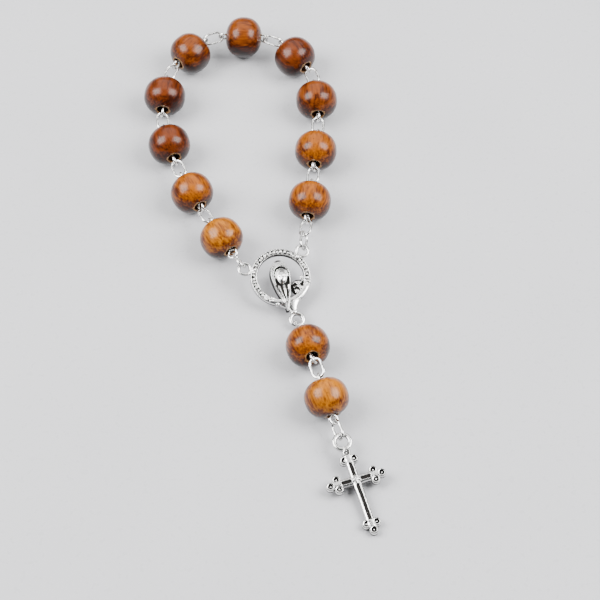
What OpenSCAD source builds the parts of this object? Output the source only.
// A small one-decade rosary laid out on a table: a closed loop of ten wooden beads, a centrepiece
// with three eyelets, and a pendant of two beads that ends in a cross. Each bead turns on its own
// pin of wire with an eye at either end, and oval links join the eyes.
// Z is up and the table is at z = 0. The origin lies on the table under the middle of the object.

/* [Beads] */
// Diameter of a bead
bead_d = 10; // [8:0.1:13]
// Length of a bead along its hole
bead_len = 8.8; // [7:0.1:11]
// Squareness of a bead's shoulders, where 2 is an ellipse
bead_squareness = 2.3; // [2:0.1:3]

/* [Wire] */
// Diameter of the wire that the pins and links are bent from
wire_d = 0.6; // [0.4:0.05:0.75]
// Outer diameter of the eye at each end of a pin
eye_d = 2.7; // [2.4:0.05:3.5]
// Clear gap between an eye and the wall of the bead's hole that it sits in
eye_clearance = 0.1; // [0.08:0.01:0.3]
// Distance from a bead's end to the middle of the pin's eye
eye_out = 0.45; // [0.2:0.05:2]
// Outer length of an oval link
link_len = 5.2; // [4.2:0.1:8]
// Outer width of an oval link
link_w = 3.3; // [3:0.1:4]
// Slit where the ends of a bent wire meet
slit = 0.1; // [0.05:0.01:0.2]
// Clear gap between two linked wires
play = 0.1; // [0.06:0.01:0.2]
// Clear gap between a link and the cast rim that it hangs on askew
hang_play = 0.2; // [0.15:0.01:0.3]

/* [Centrepiece] */
// Outer diameter of the open ring
ring_d = 13.9; // [11:0.1:18]
// Width of the ring's band
ring_band = 1.6; // [1:0.1:2]
// Thickness of the cast plate
plate_t = 1.5; // [1.2:0.1:2.5]
// Length of the neck between the ring and the lower eyelet
neck_len = 1.95; // [1:0.05:4]
// Outer diameter of the two upper eyelets
eyelet_d = 3.4; // [3.2:0.1:4.5]
// Thickness of an upper eyelet's rim
eyelet_rim = 0.68; // [0.5:0.02:0.8]
// Outer diameter of the lower eyelet
low_eyelet_d = 3.8; // [3.6:0.1:4.8]
// Thickness of the lower eyelet's rim
low_eyelet_rim = 0.9; // [0.6:0.05:1]
// How deep each eyelet's rim runs into the piece that carries it
eyelet_sink = 0.25; // [0.15:0.05:0.5]
// Gap between the ring's opening and the top of the veiled figure
figure_gap = 1.45; // [0.8:0.05:2.5]
// Width of the veil
figure_w = 4.8; // [3.6:0.1:6]

/* [Cross] */
// Distance from the crossing to the tip of the upper arm
cross_up = 7.5; // [6:0.1:10]
// Distance from the crossing to the tip of the lower arm
cross_down = 13; // [10:0.1:17]
// Distance across the two side arms
cross_across = 13.5; // [10:0.1:17]
// Width of an arm
arm_w = 2.1; // [1.6:0.1:3]
// Thickness of the cross
cross_t = 1.5; // [1:0.1:2.5]
// Diameter of each of the three round lobes at an arm's end
lobe_d = 1.8; // [1.4:0.1:2.4]
// Diameter of the dimple in each lobe
dimple_d = 0.85; // [0.5:0.05:1.1]
// Width of the groove along each arm
groove_w = 0.5; // [0.3:0.05:0.8]
// Depth of the grooves and dimples
groove_depth = 0.4; // [0.2:0.05:0.6]
// Outer diameter of the ring at the top of the cross
cross_ring_d = 4.5; // [4.2:0.1:6]
// Thickness of that ring
cross_ring_rim = 1; // [0.6:0.05:1.1]

/* [Layout] */
// Turn of the centrepiece on the table
centre_turn = 21; // [0:1:30]
// Slope of the centrepiece, whose upper edge the chain lifts
centre_tilt = 13; // [8:1:20]
// How far the chain holds the lower eyelet off the table
eyelet_lift = 0.9; // [0.7:0.1:2]
// Slope of the cross, whose ring the chain lifts
cross_tilt = 6; // [3:1:9]

/* [Hidden] */
beads_each_side = 5;
pendant_beads = 2;
sides = ["L", "R"];
wood = "chocolate";
silver = "silver";
$fn = 64;

// Compass heading of each wire from the centrepiece outwards: link, pin, link, pin and so on.
// The right strand starts with a spare link.
left_headings = [122, 122, 118, 117, 113, 107, 97, 85];
right_headings = [83, 83, 83, 85, 85, 88, 94, 109, 130];
pendant_headings = [-75, -75, -72, -72, -70];
cross_heading = -72;
// Direction of the upper eyelets from the middle of the ring
eyelet_angle = 33;
// Lean of the figure inside the ring
figure_lean = 8;
// How much further the first link turns than the pin after it, where the arch begins
arch_step = 20;
// Rise of each pin from its inner to its outer end. The chain lifts some ends.
left_rises = [0.4, 0.3, -0.3, 0];
right_rises = [0.4, -0.5, 0.3, 0];
pendant_rises = [4, -3.2];
// Where each bead has slid along its pin, away from the middle
left_slides = [0.1, -0.15, 0.1, 0, 0.1];
right_slides = [0.15, -0.1, 0.1, 0, -0.1];
pendant_slides = [0, -0.3];
// Roll of each link about its own length. At 0 it lies flat.
left_rolls = [60, 20, -15, 12, -10];
right_rolls = [-25, -18, 14, -20, 8];
pendant_rolls = [-62, 28, 62];
spare_roll = 64;
top_roll = 10;

// Distance between the middles of two wires that hang in each other
hook = wire_d + play;
// Diameter of the hole through a bead
bead_hole_d = eye_d + 2 * eye_clearance;
// From the middle of an arm to the outside of its side lobes, and how far these stand back
lobe_side = lobe_d + 0.25;
lobe_back = lobe_d * 0.92;
// How far an arm runs into the round lobe at its tip
lobe_sink = 0.4;
// Half the width of the plain boss at the crossing, where the grooves stop
boss_half = arm_w * 0.45;
// Raised dots round the ring's band, and the angle from one to the next
dot_r = ring_band * 0.24;
dot_step = 15;
// Raised edge of the veil: its width, and how far it stands over the plate
veil_edge = 0.7;
veil_rise = 0.3;
// Thickness of the sunk ground inside the edge
veil_ground = plate_t * 0.7;
// Where the head is, as a share of the figure's height, and the radii of the head and shoulders
head_share = 0.33;
shoulder_share = 0.55;
head_r = figure_w * 0.29;
shoulder_r = figure_w * 0.25;
// Width of the hem, as a share of the veil's width
hem_share = 0.2;
// Stems of the blossoms: direction from the ring's middle, and where each starts on the radius
stems = [[-52, 0.6], [-40, 0.5]];
stem_w = 0.5;
stem_t = plate_t * 0.8;
blossom_r = 0.5;
// Radius of a bent wire's middle line in an eye and at a link's end
eye_r = (eye_d - wire_d) / 2;
link_r = (link_w - wire_d) / 2;
// Pivot to pivot lengths of a link and of a pin
link_span = link_len - wire_d - hook;
pin_span = bead_len + 2 * eye_out + 2 * eye_r - hook;

// ---- where everything lies ----

function heading_vector(a) = [cos(a), sin(a), 0];
function turned(v, a) = [v.x * cos(a) - v.y * sin(a), v.x * sin(a) + v.y * cos(a), v.z];
function tipped(v, a) = [v.x, v.y * cos(a) - v.z * sin(a), v.y * sin(a) + v.z * cos(a)];
function heading_of(v) = atan2(v.y, v.x);
function slope_of(v) = asin(v.z / norm(v));
function last(list) = list[len(list) - 1];

// From the middle of a cast rim to the pivot of a link that hangs on it
function rim_reach(rim) = (rim + wire_d) / 2 + hang_play - hook / 2;

// Height of a bead's middle over the table when its pin rises by this much
function resting_height(rise) =
    let(
        slope = asin(rise / pin_span),
        q = bead_squareness / (bead_squareness - 1)
    )
    pow(
        pow(abs(bead_len / 2 * sin(slope)), q) + pow(bead_d / 2 * cos(slope), q),
        1 / q
    );

// Heights of the pivots along a strand, two for each pin
function pivot_heights(rises) = [
    for (rise = rises, side = [-1, 1]) resting_height(rise) + side * rise / 2
];

// Pivots along a strand of wires of these lengths and headings, with the heights of their far ends
function walk(start, lengths, headings, heights, i = 0) =
    i == len(lengths)
        ? [start]
        : let(
              rise = heights[i] - start.z,
              run = sqrt(pow(lengths[i], 2) - pow(rise, 2)),
              next = [start.x, start.y, heights[i]] + run * heading_vector(headings[i])
          )
          concat([start], walk(next, lengths, headings, heights, i + 1));

// Lengths of a link and a pin, repeated
function spans(pairs) = [for (k = [1:pairs], l = [link_span, pin_span]) l];

// The centrepiece lies with its back down, and the chain holds up its ends.
eyelet_at = ring_d / 2 - eyelet_sink + eyelet_d / 2;
low_eyelet_y = -(ring_d / 2 + neck_len + low_eyelet_d / 2);
low_eyelet_r = (low_eyelet_d - low_eyelet_rim) / 2;
centre_height = (low_eyelet_r - low_eyelet_y) * sin(centre_tilt)
    + low_eyelet_rim / 2 - plate_t / 2 * cos(centre_tilt) + eyelet_lift;
function on_centrepiece(v) =
    [0, 0, centre_height] + turned(tipped(v, centre_tilt), centre_turn);
eyelet_x = eyelet_at * cos(eyelet_angle);
eyelet_y = eyelet_at * sin(eyelet_angle);
eyelet_left = on_centrepiece([-eyelet_x, eyelet_y, plate_t / 2]);
eyelet_right = on_centrepiece([eyelet_x, eyelet_y, plate_t / 2]);
eyelet_low = on_centrepiece([0, low_eyelet_y, plate_t / 2]);
plate_normal = turned(tipped([0, 0, 1], centre_tilt), centre_turn);

// The point on the middle line of an eyelet's rim where a link with this heading hangs
function rim_point(eyelet, d, rim, heading) =
    let(
        flat = heading_vector(heading),
        out = flat - [0, 0, flat * plate_normal / plate_normal.z]
    )
    eyelet + (d - rim) / 2 * out / norm(out);

// First pivot of a strand whose link hangs there and rises to a pivot at the given height
function hung(at, rim, heading, height) =
    let(slope = asin((height - at.z) / (link_span - rim_reach(rim))))
    at - rim_reach(rim) * (heading_vector(heading) * cos(slope) + [0, 0, sin(slope)]);

rim_left = rim_point(eyelet_left, eyelet_d, eyelet_rim, left_headings[0]);
rim_right = rim_point(eyelet_right, eyelet_d, eyelet_rim, right_headings[0]);
rim_low = rim_point(eyelet_low, low_eyelet_d, low_eyelet_rim, pendant_headings[0]);

// Pivot heights of each strand. The spare link rises halfway to the first pin of the right strand.
left_heights = pivot_heights(left_rises);
first_right = pivot_heights(right_rises);
right_heights = concat([(rim_right.z + first_right[0]) / 2], first_right);
low_heights = pivot_heights(pendant_rises);

// The cross stands on the foot of its lower arm, and the last link holds up the rim of its ring.
crossing_at = cross_ring_d / 2 - eyelet_sink + cross_up;
cross_len = crossing_at + cross_down;
cross_ring_r = (cross_ring_d - cross_ring_rim) / 2;
cross_reach = rim_reach(cross_ring_rim);
cross_rim_height = (cross_len + cross_ring_r) * sin(cross_tilt) + cross_t / 2 * cos(cross_tilt);
cross_pivot_height = (cross_rim_height * link_span - cross_reach * last(low_heights))
    / (link_span - cross_reach);

// Both strands as far as the arch, and the pendant
strand_left = walk(
    hung(rim_left, eyelet_rim, left_headings[0], left_heights[0]),
    spans(4),
    left_headings,
    left_heights
);
strand_right = walk(
    hung(rim_right, eyelet_rim, right_headings[0], right_heights[0]),
    concat([link_span], spans(4)),
    right_headings,
    right_heights
);
pendant = walk(
    hung(rim_low, low_eyelet_rim, pendant_headings[0], low_heights[0]),
    concat(spans(2), [link_span]),
    pendant_headings,
    concat(low_heights, [cross_pivot_height])
);
cross_link_ends = wire(pendant, 2 * pendant_beads);
cross_along = heading_vector(cross_heading) * cos(cross_tilt) - [0, 0, sin(cross_tilt)];
cross_side = heading_vector(cross_heading + 90);
cross_ring_middle = cross_link_ends[1] + cross_ring_r * cross_along
    - cross_reach / link_span * (cross_link_ends[1] - cross_link_ends[0]);

// The arch closes the loop with a link, a pin, the top link, a pin and a link. Its two halves
// mirror each other about the middle of the line that joins the two strands.
arch_from = last(strand_left);
arch_to = last(strand_right);
arch_base = heading_of(arch_to - arch_from);
arch_along = 2 * (link_span * cos(arch_step) + pin_span);
arch_across = 2 * link_span * sin(arch_step);
arch_pin = acos((norm(arch_to - arch_from) - link_span) / norm([arch_along, arch_across]))
    - atan2(arch_across, arch_along);
arch_link = arch_pin + arch_step;
arch = walk(
    arch_from,
    [link_span, pin_span, link_span, pin_span, link_span],
    [for (a = [arch_link, arch_pin, 0, -arch_pin, -arch_link]) arch_base + a],
    [for (i = [1:5]) bead_d / 2]
);

// Pivots of each side of the loop, from the centrepiece to the top link
loop_left = concat(strand_left, [arch[1], arch[2]]);
loop_right = concat(strand_right, [arch[4], arch[3]]);

// The two ends of one wire of a strand, the inner end first
function wire(path, i) = [path[i], path[i + 1]];
function link_ends(side, k) =
    side == "L" ? wire(loop_left, 2 * k - 2)
    : side == "R" ? wire(loop_right, 2 * k - 1)
    : wire(pendant, 2 * k - 2);
function pin_ends(side, k) =
    side == "L" ? wire(loop_left, 2 * k - 1)
    : side == "R" ? wire(loop_right, 2 * k)
    : wire(pendant, 2 * k - 1);
spare_ends = wire(loop_right, 0);
top_ends = [last(loop_left), last(loop_right)];

// Roll of the link before a pin, and of the link after it
function link_roll(side, k) =
    (side == "L" ? left_rolls : side == "R" ? right_rolls : pendant_rolls)[k - 1];
function next_roll(side, k) =
    side == "L" && k == beads_each_side ? top_roll
    : side == "R" && k == beads_each_side ? -top_roll
    : link_roll(side, k + 1);

function bead_slide(side, k) =
    (side == "L" ? left_slides : side == "R" ? right_slides : pendant_slides)[k - 1];
function bead_middle(side, k) =
    let(ends = pin_ends(side, k), along = ends[1] - ends[0])
    (ends[0] + ends[1]) / 2 + bead_slide(side, k) * along / norm(along);

// The middle of the object on the table, halfway between its outermost beads and cross tips
arm_tip = cross_ring_middle + crossing_at * cross_along + cross_across / 2 * cross_side;
foot_tip = cross_ring_middle + cross_len * cross_along;
foot_corner = foot_tip + lobe_side * cross_side;
outermost = concat(
    [
        for (s = sides, k = [1:beads_each_side], way = [[1, 1, 0], [-1, -1, 0]])
            bead_middle(s, k) + bead_d / 2 * way
    ],
    [arm_tip, foot_tip, foot_corner]
);
xs = [for (p = outermost) p.x];
ys = [for (p = outermost) p.y];
middle = [(min(xs) + max(xs)) / 2, (min(ys) + max(ys)) / 2, 0];

// ---- the pieces ----

// Lays a piece that is drawn along +X, with its inner end at the origin, between two pivots
module between(ends, roll = 0) {
    along = ends[1] - ends[0];
    translate(ends[0] - middle)
        rotate([roll, -slope_of(along), heading_of(along)])
            children();
}

// Part of a ring of round wire in the XY plane, about a middle on the X axis
module bend(x, r, thickness, from, angle) {
    translate([x, 0, 0])
        rotate(from)
            rotate_extrude(angle = angle)
                translate([r, 0]) circle(thickness / 2);
}

module straight_wire(x, y, length) {
    translate([x, y, 0]) rotate([0, 90, 0]) cylinder(h = length, d = wire_d);
}

// An oval link. The ends of its wire meet at a slit on one long side.
module link(ends, roll) {
    inner_x = link_r - hook / 2;
    side_len = link_span + hook - 2 * link_r;
    half_len = (side_len - slit) / 2;
    color(silver) between(ends, roll) {
        bend(inner_x, link_r, wire_d, 90, 180);
        bend(inner_x + side_len, link_r, wire_d, -90, 180);
        straight_wire(inner_x, -link_r, side_len);
        straight_wire(inner_x, link_r, half_len);
        straight_wire(inner_x + side_len - half_len, link_r, half_len);
    }
}

// A pin: a straight wire with an eye at either end, each set square to the link that it holds.
// An eye's wire stops a slit short of the shank.
module pin(ends, inner_roll, outer_roll) {
    inner_x = eye_r - hook / 2;
    outer_x = pin_span - inner_x;
    eye_turn = 360 - asin(wire_d / 2 / eye_r) - slit / eye_r * 180 / PI;
    color(silver) {
        between(ends) straight_wire(inner_x + eye_r, 0, outer_x - inner_x - 2 * eye_r);
        between(ends, inner_roll) bend(inner_x, eye_r, wire_d, 0, eye_turn);
        between(ends, outer_roll) bend(outer_x, eye_r, wire_d, 180, eye_turn);
    }
}

// One quarter of a bead's outline, from the rim of its hole to its widest line
function shoulder(steps = 14) =
    let(
        n = 2 / bead_squareness,
        rim = asin(pow(bead_hole_d / bead_d, 1 / n))
    )
    [
        for (i = [0:steps])
            let(a = rim + (90 - rim) * i / steps)
            [bead_d / 2 * pow(sin(a), n), bead_len / 2 * pow(cos(a), n)]
    ];

// A turned bead: a superellipse spun about its hole
module bead(ends, slide) {
    upper = shoulder();
    lower = [for (i = [len(upper) - 2:-1:0]) [upper[i].x, -upper[i].y]];
    color(wood)
        between(ends)
            translate([pin_span / 2 + slide, 0, 0])
                rotate([0, 90, 0])
                    rotate_extrude() polygon(concat(upper, lower));
}

// Outline of the veil, upright: a rounded head that narrows in straight lines to the hem
function veil_outline(h, w, steps = 16) =
    let(
        brow = head_share * h,
        left = concat(
            [for (i = [0:steps - 1]) let(a = 90 * i / steps) [w / 2 * sin(a), -brow * (1 - cos(a))]],
            [[w / 2, -brow], [w / 2 * 0.9, -h / 2], [w / 2 * hem_share, -h]]
        )
    )
    concat(left, [for (i = [len(left) - 1:-1:1]) [-left[i].x, left[i].y]]);

module cast_eyelet(x, y, d, rim) {
    translate([x, y, plate_t / 2]) bend(0, (d - rim) / 2, rim, 0, 360);
}

// The open ring with its raised dots, its neck and its three eyelets
module ring() {
    inner_r = ring_d / 2 - ring_band;
    neck_top_x = ring_d * 0.3;
    neck_top_y = -inner_r * 0.9;
    neck_foot_y = low_eyelet_y + low_eyelet_r;
    linear_extrude(plate_t) difference() {
        union() {
            circle(ring_d / 2);
            polygon([
                [-neck_top_x, neck_top_y],
                [neck_top_x, neck_top_y],
                [low_eyelet_rim, neck_foot_y],
                [-low_eyelet_rim, neck_foot_y]
            ]);
        }
        circle(inner_r);
    }
    for (a = [-30:dot_step:210])
        rotate(a) translate([ring_d / 2 - ring_band / 2, 0, plate_t]) sphere(dot_r);
    cast_eyelet(-eyelet_x, eyelet_y, eyelet_d, eyelet_rim);
    cast_eyelet(eyelet_x, eyelet_y, eyelet_d, eyelet_rim);
    cast_eyelet(0, low_eyelet_y, low_eyelet_d, low_eyelet_rim);
}

// The veiled head and shoulders: a sunk ground inside the raised edge of the veil
module figure() {
    top_y = ring_d / 2 - ring_band - figure_gap;
    figure_h = top_y - low_eyelet_y - low_eyelet_r - low_eyelet_rim;
    outline = veil_outline(figure_h, figure_w);
    head_y = -head_share * figure_h;
    rotate(-figure_lean) translate([0, top_y, 0]) {
        linear_extrude(veil_ground) polygon(outline);
        linear_extrude(plate_t + veil_rise) difference() {
            polygon(outline);
            translate([0, head_y])
                scale(1 - 2 * veil_edge / figure_w)
                    translate([0, -head_y]) polygon(outline);
        }
        translate([0, head_y, plate_t / 2]) sphere(head_r);
        translate([0, -shoulder_share * figure_h, veil_ground / 2]) sphere(shoulder_r);
    }
}

// Small blossoms on stems between the figure and the ring
module spray() {
    reach = ring_d / 2 - ring_band / 2;
    for (stem = stems)
        rotate(stem[0]) {
            translate([reach * stem[1], -stem_w / 2, 0]) cube([reach * (1 - stem[1]), stem_w, stem_t]);
            translate([reach * (stem[1] + 1) / 2, 0, stem_t]) sphere(blossom_r);
        }
}

module centrepiece() {
    color(silver)
        translate([0, 0, centre_height] - middle) rotate([centre_tilt, 0, centre_turn]) {
            ring();
            figure();
            spray();
        }
}

// Three round lobes at the end of an arm that reaches along +X
module lobes(reach) {
    tip_x = reach - lobe_d / 2;
    side_x = tip_x - lobe_back;
    side_y = lobe_side - lobe_d / 2;
    for (at = [[tip_x, 0], [side_x, side_y], [side_x, -side_y]]) translate(at) children();
}

// Reach and direction of each arm from the crossing
arms = [[cross_down, 0], [cross_across / 2, 90], [cross_up, 180], [cross_across / 2, -90]];

module cross() {
    cut = groove_depth + 1;
    color(silver)
        translate(cross_ring_middle - middle) rotate([0, cross_tilt, cross_heading]) {
            bend(0, (cross_ring_d - cross_ring_rim) / 2, cross_ring_rim, 0, 360);
            translate([crossing_at, 0, -cross_t / 2]) difference() {
                linear_extrude(cross_t)
                    for (arm = arms)
                        rotate(arm[1]) {
                            translate([0, -arm_w / 2]) square([arm[0] - lobe_d + lobe_sink, arm_w]);
                            lobes(arm[0]) circle(lobe_d / 2);
                        }
                translate([0, 0, cross_t - groove_depth])
                    for (arm = arms)
                        rotate(arm[1]) {
                            groove_len = arm[0] - boss_half - lobe_d - lobe_back;
                            translate([boss_half, -groove_w / 2, 0]) cube([groove_len, groove_w, cut]);
                            lobes(arm[0]) cylinder(h = cut, d = dimple_d);
                        }
            }
        }
}

centrepiece();
cross();
for (s = sides, k = [1:beads_each_side]) {
    bead(pin_ends(s, k), bead_slide(s, k));
    pin(pin_ends(s, k), link_roll(s, k) + 90, next_roll(s, k) + 90);
    link(link_ends(s, k), link_roll(s, k));
}
for (k = [1:pendant_beads]) {
    bead(pin_ends("P", k), bead_slide("P", k));
    pin(pin_ends("P", k), link_roll("P", k) + 90, next_roll("P", k) + 90);
    link(link_ends("P", k), link_roll("P", k));
}
link(spare_ends, spare_roll);  // link_R0
link(top_ends, top_roll);  // link_top
link(cross_link_ends, link_roll("P", 3));  // link_cross
